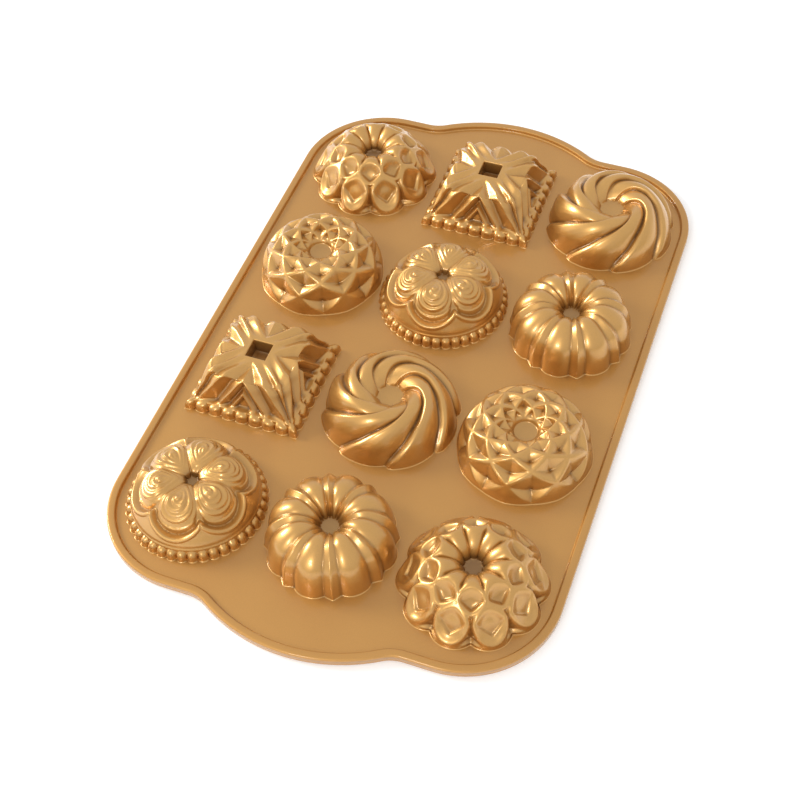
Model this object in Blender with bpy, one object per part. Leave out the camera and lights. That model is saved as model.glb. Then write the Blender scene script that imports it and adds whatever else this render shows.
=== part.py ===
"""Mini ring cake pan, laid with its moulds up: twelve small moulds of six patterns in one rimmed deck."""
import math
from collections import namedtuple

import bmesh
import bpy
from mathutils import Matrix, Vector

# Deck: the flat plate that carries the moulds
DECK_THICKNESS = 0.0025
COLUMN_WEB = 0.0010
ROW_WEB = 0.00866
SIDE_MARGIN = 0.0056
END_MARGIN = 0.0093
CORNER_RADIUS = 0.0360
GRIP_REACH = 0.0114
GRIP_RADIUS = 0.0650
GRIP_FILLET_RADIUS = 0.0140

# Rim: the raised bead round the deck
RIM_WIDTH = 0.0033
RIM_HEIGHT = 0.0042
RIM_ROUNDING = 0.0009
RIM_FOOT_CHAMFER = 0.0005
RIM_INNER_SLOPE = 0.0007

# Every mould
WALL = 0.0025
CLEARANCE = 0.0003

# Fluted mould: eight wide lobes with a narrow pointed rib between each pair
FLUTED_RADIUS = 0.0246
FLUTED_HEIGHT = 0.0182
FLUTED_FLUTE_DEPTH = 0.0016
FLUTED_FOLDS = 8

# Petal mould: ten lobes under ten dished cells, with flutes down into the dimple
PETAL_RADIUS = 0.0275
PETAL_HEIGHT = 0.0187
PETAL_NOTCH_DEPTH = 0.0031
PETAL_FOLDS = 10

# Diamond mould: a net of raised lines round pointed pits
DIAMOND_RADIUS = 0.0260
DIAMOND_HEIGHT = 0.0170
DIAMOND_PIT_DEPTH = 0.0019
DIAMOND_FOLDS = 8

# Swirl mould: eight turning ribs, each steep on one side
SWIRL_RADIUS = 0.0270
SWIRL_HEIGHT = 0.0172
SWIRL_RIB_DEPTH = 0.0017
SWIRL_FOLDS = 8

# Rosette mould: six roses over swags and a beaded foot
ROSETTE_RADIUS = 0.0262
ROSETTE_HEIGHT = 0.0182
ROSETTE_RELIEF = 0.0022
ROSETTE_BEAD_DEPTH = 0.0008
ROSETTE_FOLDS = 6
ROSETTE_BEADS = 40

# Square mould: diagonal pleats that meet in arrow shapes over a beaded foot
SQUARE_HALF_SIDE = 0.0233
SQUARE_HEIGHT = 0.0178
SQUARE_PLEAT_DEPTH = 0.0021
SQUARE_BEAD_DEPTH = 0.0013
SQUARE_CORNER_BEAD_RADIUS = 0.0025
SQUARE_HALF_SIDE_BEADS = 4

# Profiles, base to dimple: reach as a share of the radius, rise as a share of the height
FLUTED_PROFILE_SHARES = (
    (1.0, 0.0), (0.984, 0.22), (0.951, 0.44), (0.874, 0.687), (0.752, 0.857),
    (0.61, 0.967), (0.488, 1.0), (0.366, 0.956), (0.244, 0.835), (0.171, 0.687))
PETAL_PROFILE_SHARES = (
    (1.0, 0.0), (0.964, 0.214), (0.873, 0.481), (0.709, 0.775), (0.564, 0.941),
    (0.455, 1.0), (0.36, 0.984), (0.258, 0.918), (0.191, 0.826), (0.145, 0.684))
DIAMOND_PROFILE_SHARES = (
    (1.0, 0.0), (0.981, 0.235), (0.923, 0.482), (0.854, 0.671), (0.769, 0.8), (0.692, 0.9), (0.615, 0.965),
    (0.531, 1.0), (0.442, 0.988), (0.369, 0.947), (0.308, 0.882), (0.254, 0.8), (0.215, 0.724))
SWIRL_PROFILE_SHARES = (
    (1.0, 0.0), (0.975, 0.233), (0.9, 0.523), (0.77, 0.785), (0.622, 0.959),
    (0.504, 1.0), (0.396, 0.965), (0.281, 0.843), (0.207, 0.715))
ROSETTE_PROFILE_SHARES = (
    (1.0, 0.0), (1.0, 0.15), (0.938, 0.198), (0.905, 0.357), (0.863, 0.5), (0.79, 0.7), (0.66, 0.879),
    (0.46, 1.0), (0.305, 0.989), (0.19, 0.934), (0.092, 0.857))
SQUARE_PROFILE_SHARES = (
    (1.0, 0.0), (0.985, 0.15), (0.944, 0.213), (0.85, 0.539), (0.751, 0.854),
    (0.678, 0.961), (0.532, 0.997), (0.24, 1.0), (0.176, 0.983), (0.165, 0.67))

# Columns round one fold, as shares of it: all of them, and the few that shape the inside and the dimple
FLUTED_COLUMN_SHARES = (0.0, 0.16, 0.32, 0.5, 0.68, 0.84)
FLUTED_FEW_COLUMN_SHARES = (0.0, 0.5)
PETAL_COLUMN_SHARES = (0.0, 0.25, 0.5, 0.75)
PETAL_FEW_COLUMN_SHARES = (0.0, 0.5)
DIAMOND_COLUMN_SHARES = (0.0, 0.25, 0.5, 0.75)
DIAMOND_FEW_COLUMN_SHARES = (0.0, 0.5)
SWIRL_COLUMN_SHARES = (0.0, 0.06, 0.14, 0.45, 0.75)
SWIRL_FEW_COLUMN_SHARES = (0.0, 0.1, 0.5)
ROSETTE_COLUMN_SHARES = (0.0, 0.15, 0.3, 0.4, 0.5, 0.6, 0.7, 0.85)
ROSETTE_FEW_COLUMN_SHARES = (0.0, 0.33, 0.5, 0.67)

# Relief of the fluted, diamond and swirl moulds
FLUTED_LOBE_SHARE = 0.32
FLUTED_FADE_SHARE = 0.55
DIAMOND_SINK_SHARE = 0.15
DIAMOND_BASE_NOTCH_SHARE = 0.3
DIAMOND_FADE_SHARE = 0.6
SWIRL_RISE_SHARE = 0.06
SWIRL_BAND_END_SHARE = 0.14
SWIRL_FALL_POWER = 1.7
SWIRL_FADE_SHARE = 0.3
# Turn of the swirl's creases at each profile point, as shares of a full turn
SWIRL_TURN_SHARES = (0.0, 0.017, 0.047, 0.089, 0.15, 0.197, 0.239, 0.278, 0.306)
# Petal relief at the middle of a lobe, a quarter fold on and at the notch, one row for each profile point
PETAL_RELIEF_SHARES = (
    (0.0, -0.24, -1.0), (0.0, -0.12, -0.95), (-0.5, -0.02, -0.6), (-0.05, -0.02, -0.25),
    (-0.45, -0.05, -0.2), (-0.42, -0.12, 0.0), (-0.38, -0.1, 0.0), (-0.3, -0.08, 0.0),
    (-0.2, -0.05, 0.0), (-0.1, -0.02, 0.0))
# Rosette relief from the middle of a rose to the crease beside it, one row for each profile point
ROSETTE_RELIEF_SHARES = (
    (0.0, 0.0, 0.0, 0.0, 0.0), (0.0, 0.0, 0.0, 0.0, 0.0), (0.0, 0.0, 0.0, 0.0, 0.0),
    (0.35, 0.15, 0.0, 0.0, 0.0), (-0.25, 0.1, 0.35, 0.05, 0.0), (0.0, -0.05, -0.15, 0.35, 0.0),
    (0.25, 0.15, -0.1, -0.35, -0.3), (0.3, 0.2, 0.0, -0.4, -0.9), (0.1, 0.05, -0.15, -0.45, -0.8),
    (-0.15, -0.2, -0.3, -0.4, -0.5), (0.0, 0.0, 0.0, 0.0, 0.0))
# Square pleats: distance from the corner in half sides, and height in pleat depths
SQUARE_PLEAT_SHARES = (
    (0.0, 0.85), (0.07, 0.35), (0.17, 1.0), (0.41, 0.05),
    (0.52, 1.0), (0.655, 0.0), (0.72, 0.8), (0.79, 0.1))
# How much of the pleat depth is left at each profile point
SQUARE_PLEAT_FADE_SHARES = (0.0, 0.0, 1.0, 1.0, 1.0, 0.85, 0.55, 0.0, 0.0, 0.0)

# Layout, far row first and left to right
LAYOUT = (
    ("petal", "square", "swirl"),
    ("diamond", "rosette", "fluted"),
    ("square", "swirl", "diamond"),
    ("rosette", "fluted", "petal"))

# Steps round the curves of the outline
CORNER_STEPS = 6
GRIP_STEPS = 4
GRIP_FILLET_STEPS = 2

# Angles in degrees
FULL_TURN = 360.0
QUARTER_TURN = 90.0
FIRST_LOBE_ANGLE = -90.0
PETAL_START_ANGLE = -2.0
SWIRL_START_ANGLE = -30.5
ROSETTE_START_ANGLE = 3.0
SHARP_EDGE_ANGLE = 28.0

# The closest that two keys or a pleat and a side's middle may lie, in folds
LEAST_KEY_STEP = 0.01

CAST_COLOUR = (0.535, 0.285, 0.1, 1.0)
CAST_METALLIC = 0.85
CAST_ROUGHNESS = 0.4

Pattern = namedtuple("Pattern", "radius height folds profile columns few_columns relief start turn")


def clear_scene():
    """Take every object out of the open file."""
    for item in list(bpy.data.objects):
        bpy.data.objects.remove(item, do_unlink=True)


def cast_material(name):
    """Return the gold coat of one sub-part."""
    material = bpy.data.materials.new(name + "_coat")
    material.use_nodes = True
    shader = material.node_tree.nodes["Principled BSDF"]
    shader.inputs["Base Color"].default_value = CAST_COLOUR
    shader.inputs["Metallic"].default_value = CAST_METALLIC
    shader.inputs["Roughness"].default_value = CAST_ROUGHNESS
    return material


def add_object(name, work_mesh, location=(0.0, 0.0, 0.0)):
    """Turn a bmesh into a named object with its own material."""
    mesh = bpy.data.meshes.new(name)
    work_mesh.to_mesh(mesh)
    work_mesh.free()
    mesh.shade_smooth()
    mesh.set_sharp_from_angle(angle=math.radians(SHARP_EDGE_ANGLE))
    mesh.materials.append(cast_material(name))
    item = bpy.data.objects.new(name, mesh)
    item.location = location
    bpy.context.scene.collection.objects.link(item)
    return item


def polar(centre_x, centre_y, radius, degrees):
    """A point on a circle in the plan."""
    angle = math.radians(degrees)
    return Vector((centre_x + radius * math.cos(angle), centre_y + radius * math.sin(angle)))


def no_turn(climb):
    """Columns that run straight up the profile."""
    return 0.0


def row_value(rows, climb, share):
    """Read a mirrored table of relief shares at a profile point and a place in the fold."""
    row = rows[round(climb * (len(rows) - 1))]
    place = min(share, 1 - share) * 2 * (len(row) - 1)
    first = min(int(place), len(row) - 2)
    return row[first] + (row[first + 1] - row[first]) * (place - first)


def fluted_relief(share, climb):
    """Round lobes and pointed ribs, meeting in creases that fade towards the dimple."""
    offset = min(share, 1 - share)
    if offset < FLUTED_LOBE_SHARE:
        crest = 1 - (offset / FLUTED_LOBE_SHARE) ** 2
    else:
        crest = (offset - FLUTED_LOBE_SHARE) / (0.5 - FLUTED_LOBE_SHARE)
    return FLUTED_FLUTE_DEPTH * (crest - 1) * (1 - FLUTED_FADE_SHARE * climb)


def petal_relief(share, climb):
    """Lobes at the base, dished cells above them and flutes over the crown."""
    return PETAL_NOTCH_DEPTH * row_value(PETAL_RELIEF_SHARES, climb, share)


def diamond_relief(share, climb):
    """A pit in each diamond of the net, deepest a little below its middle."""
    row = climb * (len(DIAMOND_PROFILE_SHARES) - 1) / 2
    across = share * 2
    from_fold = min(across, 2 - across)
    if row + from_fold <= 1:
        return -DIAMOND_PIT_DEPTH * DIAMOND_BASE_NOTCH_SHARE * from_fold * (1 - row)
    rising = ((across + row - 1) / 2) % 1
    falling = ((across - row - 1) / 2) % 1
    low = 0.5 - DIAMOND_SINK_SHARE
    high = 0.5 + DIAMOND_SINK_SHARE
    depth = min(rising / low, (1 - rising) / high, falling / high, (1 - falling) / low)
    return -DIAMOND_PIT_DEPTH * depth * (1 - DIAMOND_FADE_SHARE * climb ** 2)


def swirl_relief(share, climb):
    """A steep rise to a narrow band, then a long rounded fall to the next crease."""
    if share < SWIRL_RISE_SHARE:
        fall = 1 - share / SWIRL_RISE_SHARE
    elif share < SWIRL_BAND_END_SHARE:
        fall = 0
    else:
        fall = ((share - SWIRL_BAND_END_SHARE) / (1 - SWIRL_BAND_END_SHARE)) ** SWIRL_FALL_POWER
    return -SWIRL_RIB_DEPTH * fall * (1 - SWIRL_FADE_SHARE * climb)


def swirl_turn(climb):
    """How far the creases have turned at a profile point, in degrees."""
    return FULL_TURN * SWIRL_TURN_SHARES[round(climb * (len(SWIRL_TURN_SHARES) - 1))]


def rosette_relief(share, climb):
    """Roses, the hollow under each one and the swag that hangs round it."""
    return ROSETTE_RELIEF * row_value(ROSETTE_RELIEF_SHARES, climb, share)


PATTERNS = {
    "fluted": Pattern(
        FLUTED_RADIUS, FLUTED_HEIGHT, FLUTED_FOLDS, FLUTED_PROFILE_SHARES,
        FLUTED_COLUMN_SHARES, FLUTED_FEW_COLUMN_SHARES, fluted_relief, 0.0, no_turn),
    "petal": Pattern(
        PETAL_RADIUS, PETAL_HEIGHT, PETAL_FOLDS, PETAL_PROFILE_SHARES,
        PETAL_COLUMN_SHARES, PETAL_FEW_COLUMN_SHARES, petal_relief, PETAL_START_ANGLE, no_turn),
    "diamond": Pattern(
        DIAMOND_RADIUS, DIAMOND_HEIGHT, DIAMOND_FOLDS, DIAMOND_PROFILE_SHARES,
        DIAMOND_COLUMN_SHARES, DIAMOND_FEW_COLUMN_SHARES, diamond_relief, 0.0, no_turn),
    "swirl": Pattern(
        SWIRL_RADIUS, SWIRL_HEIGHT, SWIRL_FOLDS, SWIRL_PROFILE_SHARES,
        SWIRL_COLUMN_SHARES, SWIRL_FEW_COLUMN_SHARES, swirl_relief, SWIRL_START_ANGLE, swirl_turn),
    "rosette": Pattern(
        ROSETTE_RADIUS, ROSETTE_HEIGHT, ROSETTE_FOLDS, ROSETTE_PROFILE_SHARES,
        ROSETTE_COLUMN_SHARES, ROSETTE_FEW_COLUMN_SHARES, rosette_relief, ROSETTE_START_ANGLE, no_turn),
    "square": Pattern(
        SQUARE_HALF_SIDE, SQUARE_HEIGHT, 4, SQUARE_PROFILE_SHARES, None, None, None, 0.0, no_turn)}


def profile_point(pattern, point):
    """Return reach and rise at a profile point, the rise measured from the deck's top."""
    reach, rise = pattern.profile[point]
    return Vector((reach * pattern.radius, rise * pattern.height))


def profile_normal(pattern, point):
    """Return the outward normal of the profile: level at the foot, leaning over at the dimple's floor."""
    if point == 0:
        return Vector((1.0, 0.0))
    here = profile_point(pattern, point)
    if point == len(pattern.profile) - 1:
        after = Vector((0.0, here.y))
    else:
        after = profile_point(pattern, point + 1)
    along = (here - profile_point(pattern, point - 1)).normalized() + (after - here).normalized()
    return Vector((along.y, -along.x)).normalized()


def round_ring(pattern, point, shares, inward=0.0, outward=0.0, level=None):
    """One ring of a round mould, as pairs of a key counted in folds and a place."""
    climb = point / (len(pattern.profile) - 1)
    normal = profile_normal(pattern, point)
    ring = []
    for fold in range(pattern.folds):
        for share in shares:
            flat = profile_point(pattern, point) + normal * (pattern.relief(share, climb) - inward)
            turned = pattern.start + (fold + share) * FULL_TURN / pattern.folds + pattern.turn(climb)
            place = polar(0.0, 0.0, flat.x + outward, FIRST_LOBE_ANGLE + turned)
            height = DECK_THICKNESS + flat.y if level is None else level
            ring.append((fold + share, place.to_3d() + Vector((0.0, 0.0, height))))
    return ring


def bead_ring(pattern, point, depth, columns, outward=0.0, level=None):
    """A ring round a circular foot whose odd columns lie in the gaps between beads."""
    here = profile_point(pattern, point)
    height = DECK_THICKNESS + here.y if level is None else level
    ring = []
    for column in range(columns):
        reach = here.x + outward - depth * (column % 2)
        turned = pattern.start + column * FULL_TURN / columns
        place = polar(0.0, 0.0, reach, FIRST_LOBE_ANGLE + turned)
        ring.append((column * pattern.folds / columns, place.to_3d() + Vector((0.0, 0.0, height))))
    return ring


def square_ring(stations, half_side, height):
    """A square ring from stations that run from a corner to the middle of a side.

    A station is its distance from the corner along the side, and how far it is pushed out and up.
    """
    ring = []
    for quarter in range(4):
        turn = Matrix.Rotation(math.radians(QUARTER_TURN * quarter), 3, "Z")
        forward = list(stations)
        backward = forward[-2:0:-1]
        for side, run in ((1, forward), (-1, backward)):
            for distance, push, lift in run:
                along = half_side - distance + (push if distance == 0 else 0)
                share = distance / (2 * SQUARE_HALF_SIDE) if distance < half_side else 0.5
                key = quarter + (share if side == 1 else 1 - share)
                ring.append((key, turn @ Vector((side * along, half_side + push, height + lift))))
    return ring


def pleat_share(distance):
    """Height of the pleats at a distance from the corner, as a share of their depth."""
    place = distance / SQUARE_HALF_SIDE
    for (start, low), (end, high) in zip(SQUARE_PLEAT_SHARES, SQUARE_PLEAT_SHARES[1:]):
        if place <= end:
            return low + (high - low) * (place - start) / (end - start)
    return SQUARE_PLEAT_SHARES[-1][1]


def pleated_ring(pattern, point, inward=0.0):
    """A ring of the square mould, with a column on every crest and valley of the pleats that reach it."""
    here = profile_point(pattern, point)
    normal = profile_normal(pattern, point)
    depth = SQUARE_PLEAT_DEPTH * SQUARE_PLEAT_FADE_SHARES[point]
    half_side = here.x - normal.x * inward
    distances = [place * SQUARE_HALF_SIDE for place, height in SQUARE_PLEAT_SHARES]
    margin = LEAST_KEY_STEP * SQUARE_HALF_SIDE
    reached = [distance for distance in distances if distance < half_side - margin]
    if depth == 0:
        reached = [0.0]
    stations = []
    for distance in reached + [half_side]:
        sink = depth * (pleat_share(distance) - 1)
        stations.append((distance, normal.x * sink, normal.y * sink))
    return square_ring(stations, half_side, DECK_THICKNESS + here.y - normal.y * inward)


def square_bead_ring(pattern, point):
    """A ring round the square foot, out on each bead and in between them."""
    here = profile_point(pattern, point)
    pitch = (SQUARE_HALF_SIDE - SQUARE_CORNER_BEAD_RADIUS) / SQUARE_HALF_SIDE_BEADS
    stations = [(0.0, -SQUARE_BEAD_DEPTH / 2, 0.0)]
    for step in range(2 * SQUARE_HALF_SIDE_BEADS + 1):
        distance = SQUARE_CORNER_BEAD_RADIUS + step * pitch / 2 - (SQUARE_HALF_SIDE - here.x)
        stations.append((distance, -SQUARE_BEAD_DEPTH * (step % 2), 0.0))
    return square_ring(stations, here.x, DECK_THICKNESS + here.y)


def square_foot_ring(outward, level):
    """The plain square outline of the foot, with its corners cut a little."""
    half_side = SQUARE_HALF_SIDE + outward
    stations = [(0.0, -SQUARE_BEAD_DEPTH / 4, 0.0), (half_side, 0.0, 0.0)]
    return square_ring(stations, half_side, level)


def foot_ring(name, outward, level):
    """The outline of a mould where it passes through the deck, pushed out and set at a level."""
    pattern = PATTERNS[name]
    if name == "square":
        return square_foot_ring(outward, level)
    if name == "rosette":
        return bead_ring(pattern, 0, 0.0, ROSETTE_BEADS, outward, level)
    return round_ring(pattern, 0, pattern.columns, outward=outward, level=level)


def outer_rings(name):
    """Rings up the outside of a mould, from the deck to the floor of its dimple."""
    pattern = PATTERNS[name]
    last = len(pattern.profile) - 1
    if name == "square":
        beads = [square_bead_ring(pattern, point) for point in (0, 1)]
        return beads + [pleated_ring(pattern, point) for point in range(2, last + 1)]
    if name == "rosette":
        beads = [bead_ring(pattern, point, ROSETTE_BEAD_DEPTH, 2 * ROSETTE_BEADS) for point in (0, 1)]
        body = range(2, last + 1)
    else:
        beads = []
        body = range(0, last + 1)
    rings = []
    for point in body:
        shares = pattern.columns if point < last - 2 else pattern.few_columns
        rings.append(round_ring(pattern, point, shares))
    return beads + rings


def inner_rings(name):
    """Rings of the cavity, from the underside of the post to the mouth."""
    pattern = PATTERNS[name]
    points = range(len(pattern.profile) - 1, 1, -2)
    mouth_reach = profile_point(pattern, 0).x - WALL
    if name == "square":
        rings = [pleated_ring(pattern, point, WALL) for point in points]
        return rings + [square_ring([(0.0, 0.0, 0.0), (mouth_reach, 0.0, 0.0)], mouth_reach, 0.0)]
    rings = [round_ring(pattern, point, pattern.few_columns, WALL) for point in points]
    return rings + [round_ring(pattern, 0, pattern.few_columns, WALL, level=0.0)]


def key_at(ring, index, folds):
    """Key of a column, counted on past the full turn."""
    return ring[index % len(ring)][0] + folds * (index // len(ring))


def stitch(work_mesh, lower, upper, folds):
    """Join two rings with triangles that face out where the second ring lies above the first."""
    low, high = 0, 0
    while low < len(lower) or high < len(upper):
        here, beside = lower[low % len(lower)][1], lower[(low + 1) % len(lower)][1]
        above, across = upper[high % len(upper)][1], upper[(high + 1) % len(upper)][1]
        step = key_at(lower, low + 1, folds) - key_at(upper, high + 1, folds)
        if abs(step) < LEAST_KEY_STEP / 2:
            outward = (across.co - here.co).cross(above.co - beside.co)
            if (here.co + across.co - beside.co - above.co).dot(outward) > 0:
                work_mesh.faces.new((here, beside, across))
                work_mesh.faces.new((here, across, above))
            else:
                work_mesh.faces.new((here, beside, above))
                work_mesh.faces.new((beside, across, above))
            low += 1
            high += 1
        elif step < 0:
            work_mesh.faces.new((here, beside, above))
            low += 1
        else:
            work_mesh.faces.new((here, across, above))
            high += 1


def close_ring(work_mesh, ring, facing_up):
    """Close a ring with a fan of triangles round its middle."""
    middle = sum((vert.co for key, vert in ring), Vector()) / len(ring)
    pole = work_mesh.verts.new(middle)
    for index in range(len(ring)):
        here, beside = ring[index][1], ring[(index + 1) % len(ring)][1]
        work_mesh.faces.new((here, beside, pole) if facing_up else (beside, here, pole))


def build_mould(name, item_name, centre):
    """One mould: its cavity, its foot through the deck and its patterned outside, in one chain of rings."""
    work_mesh = bmesh.new()
    chain = inner_rings(name) + [foot_ring(name, 0.0, 0.0)] + outer_rings(name)
    rings = [[(key, work_mesh.verts.new(place)) for key, place in ring] for ring in chain]
    for lower, upper in zip(rings, rings[1:]):
        stitch(work_mesh, lower, upper, PATTERNS[name].folds)
    close_ring(work_mesh, rings[0], False)
    close_ring(work_mesh, rings[-1], True)
    return add_object(item_name, work_mesh, centre)


def pitch_between(rows, web):
    """The least spacing at which each pair of neighbours in the rows keeps the web between them."""
    widest = max(PATTERNS[first].radius + PATTERNS[second].radius
                 for row in rows for first, second in zip(row, row[1:]))
    return widest + web


COLUMN_PITCH = pitch_between(LAYOUT, COLUMN_WEB)
COLUMNS = tuple(zip(*LAYOUT))
ROW_PITCH = pitch_between(COLUMNS, ROW_WEB)


def mould_places():
    """Every mould's pattern, node name and centre, far row first."""
    made = {}
    for row_index, row in enumerate(LAYOUT):
        for column_index, name in enumerate(row):
            made[name] = made.get(name, 0) + 1
            across = (column_index - (len(row) - 1) / 2) * COLUMN_PITCH
            along = ((len(LAYOUT) - 1) / 2 - row_index) * ROW_PITCH
            yield name, name + "_mould_" + str(made[name]), Vector((across, along, 0.0))


def outline_quarter(inset):
    """The outline from the right-hand corner to the middle of the far grip, set in by a distance."""
    side_reach = max(PATTERNS[name].radius for name in COLUMNS[0] + COLUMNS[-1])
    end_reach = max(PATTERNS[name].radius for name in LAYOUT[0] + LAYOUT[-1])
    half_width = (len(LAYOUT[0]) - 1) / 2 * COLUMN_PITCH + side_reach + SIDE_MARGIN
    shoulder = (len(LAYOUT) - 1) / 2 * ROW_PITCH + end_reach + END_MARGIN
    grip_centre = shoulder + GRIP_REACH - GRIP_RADIUS
    fillet_centre = shoulder + GRIP_FILLET_RADIUS
    between = GRIP_RADIUS + GRIP_FILLET_RADIUS
    fillet_across = math.sqrt(between ** 2 - (fillet_centre - grip_centre) ** 2)
    lean = math.degrees(math.atan2(fillet_centre - grip_centre, fillet_across))
    points = []
    for step in range(CORNER_STEPS + 1):
        points.append(polar(half_width - CORNER_RADIUS, shoulder - CORNER_RADIUS, CORNER_RADIUS - inset,
                            QUARTER_TURN * step / CORNER_STEPS))
    for step in range(GRIP_FILLET_STEPS + 1):
        turned = -QUARTER_TURN - (QUARTER_TURN - lean) * step / GRIP_FILLET_STEPS
        points.append(polar(fillet_across, fillet_centre, GRIP_FILLET_RADIUS + inset, turned))
    for step in range(1, GRIP_STEPS + 1):
        turned = (QUARTER_TURN - lean) * step / GRIP_STEPS
        points.append(polar(0.0, grip_centre, GRIP_RADIUS - inset, lean + turned))
    return points


def outline(inset):
    """The pan's whole outline, set in by a distance, counter-clockwise."""
    first = outline_quarter(inset)
    second = [Vector((-point.x, point.y)) for point in reversed(first[:-1])]
    half = first + second
    return half + [Vector((-point.x, -point.y)) for point in half]


def build_rim():
    """The bead round the deck: one section carried round the outline."""
    section = (
        (RIM_FOOT_CHAMFER, 0.0), (0.0, RIM_FOOT_CHAMFER), (0.0, RIM_HEIGHT - RIM_ROUNDING),
        (RIM_ROUNDING, RIM_HEIGHT), (RIM_WIDTH - RIM_INNER_SLOPE, RIM_HEIGHT),
        (RIM_WIDTH, DECK_THICKNESS + CLEARANCE), (RIM_WIDTH, 0.0))
    work_mesh = bmesh.new()
    loops = [[work_mesh.verts.new((point.x, point.y, height)) for point in outline(inset)]
             for inset, height in section]
    for loop, beyond in zip(loops, loops[1:] + loops[:1]):
        for index in range(len(loop)):
            after = (index + 1) % len(loop)
            work_mesh.faces.new((loop[index], loop[after], beyond[after], beyond[index]))
    return add_object("rim_lip", work_mesh)


def add_loop(work_mesh, places):
    """Add a closed loop of edges."""
    verts = [work_mesh.verts.new(place) for place in places]
    return [work_mesh.edges.new(pair) for pair in zip(verts, verts[1:] + verts[:1])]


def build_deck():
    """The plate inside the rim, with a hole that fits each mould's foot."""
    work_mesh = bmesh.new()
    edges = add_loop(work_mesh, [point.to_3d() for point in outline(RIM_WIDTH + CLEARANCE)])
    for name, item_name, centre in mould_places():
        edges += add_loop(work_mesh, [centre + place for key, place in foot_ring(name, CLEARANCE, 0.0)])
    bmesh.ops.triangle_fill(work_mesh, edges=edges, use_beauty=True, normal=(0.0, 0.0, -1.0))
    raised = bmesh.ops.extrude_face_region(work_mesh, geom=work_mesh.faces[:])
    tops = [part for part in raised["geom"] if isinstance(part, bmesh.types.BMVert)]
    bmesh.ops.translate(work_mesh, verts=tops, vec=(0.0, 0.0, DECK_THICKNESS))
    bmesh.ops.recalc_face_normals(work_mesh, faces=work_mesh.faces[:])
    return add_object("deck_plate", work_mesh)


def main():
    """Build the whole pan."""
    clear_scene()
    build_deck()
    build_rim()
    for name, item_name, centre in mould_places():
        build_mould(name, item_name, centre)


main()
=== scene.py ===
"""Fine pieces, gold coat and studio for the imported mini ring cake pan."""
import math

import bpy
import numpy as np
from mathutils import Matrix, Vector


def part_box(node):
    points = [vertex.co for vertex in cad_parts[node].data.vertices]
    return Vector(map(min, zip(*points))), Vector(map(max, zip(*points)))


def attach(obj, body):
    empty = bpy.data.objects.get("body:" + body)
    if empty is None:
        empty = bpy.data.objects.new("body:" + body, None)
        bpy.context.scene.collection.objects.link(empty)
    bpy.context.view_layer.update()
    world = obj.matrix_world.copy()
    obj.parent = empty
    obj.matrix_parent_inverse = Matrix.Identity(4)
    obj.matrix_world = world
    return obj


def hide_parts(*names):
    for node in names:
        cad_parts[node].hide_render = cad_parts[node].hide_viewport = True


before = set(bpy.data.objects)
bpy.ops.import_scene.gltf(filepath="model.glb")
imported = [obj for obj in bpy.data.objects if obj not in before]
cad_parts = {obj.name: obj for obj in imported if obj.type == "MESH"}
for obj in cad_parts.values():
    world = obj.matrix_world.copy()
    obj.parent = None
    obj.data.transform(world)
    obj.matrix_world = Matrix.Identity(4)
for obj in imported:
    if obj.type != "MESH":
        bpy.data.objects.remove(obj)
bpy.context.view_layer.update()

bl_info = {
    "name": "Mini Ring Cake Pan",
    "version": (1, 0, 0),
    "blender": (4, 5, 0),
    "location": "3D View > Sidebar > Cake Pan",
    "description": "Builds the fine pieces, the gold coat and the studio of a cast mini ring cake pan",
    "category": "Add Mesh",
}

MM = 0.001
BODY = "root"
DECK_SLOT = "deck_coat"
MOULD_SLOT = "mould_coat"

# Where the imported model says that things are, in millimetres
DECK_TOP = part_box("deck_plate")[1].z / MM
RIM_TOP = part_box("rim_lip")[1].z / MM
PAN_HALF_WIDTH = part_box("rim_lip")[1].x / MM
PAN_HALF_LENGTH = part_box("rim_lip")[1].y / MM
PATTERN_NAMES = ("petal", "square", "swirl", "diamond", "rosette", "fluted")

# Profiles from the base to the floor of the dimple: reach and rise above the deck, in millimetres
FLUTED_PROFILE = (
    (24.6, 0.0), (24.2, 4.0), (23.4, 8.0), (21.5, 12.5), (18.5, 15.6),
    (15.0, 17.6), (12.0, 18.2), (9.0, 17.4), (6.0, 15.2), (4.3, 12.8), (3.3, 10.9))
PETAL_PROFILE = (
    (27.5, 0.0), (26.2, 3.9), (23.0, 8.3), (18.1, 13.4), (14.5, 16.8),
    (11.9, 18.4), (9.7, 18.35), (7.1, 17.2), (5.1, 15.4), (3.6, 12.9), (3.0, 11.2))
DIAMOND_PROFILE = (
    (26.0, 0.0), (25.5, 4.0), (24.0, 8.2), (22.2, 11.4), (20.0, 13.6), (18.0, 15.3), (16.0, 16.4),
    (13.8, 17.0), (11.5, 16.8), (9.6, 16.1), (8.0, 15.1), (6.5, 13.7), (5.2, 12.2), (4.5, 11.0))
SWIRL_PROFILE = (
    (27.0, 0.0), (26.3, 4.0), (24.3, 9.0), (20.8, 13.5), (16.8, 16.5),
    (13.6, 17.2), (10.7, 16.6), (7.6, 14.6), (5.6, 12.5), (5.0, 11.7))
ROSETTE_PROFILE = (
    (24.9, 0.0), (24.6, 3.4), (23.6, 6.2), (22.2, 8.7), (20.1, 12.1), (16.9, 15.5),
    (12.1, 18.2), (8.0, 18.0), (4.7, 17.2), (2.5, 15.9), (1.4, 14.0))
SQUARE_PROFILE = (
    (21.7, 0.0), (21.4, 3.5), (20.5, 5.2), (19.5, 8.8), (18.5, 12.1), (17.4, 15.2),
    (15.8, 17.1), (12.4, 17.75), (8.8, 17.8), (5.4, 17.8), (4.2, 17.5), (3.9, 14.5), (3.8, 11.9))
# Turn of the swirl's creases at each profile point, in degrees
SWIRL_TURNS = (0.0, 6.0, 17.0, 32.0, 54.0, 71.0, 86.0, 100.0, 110.0, 114.0)

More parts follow.
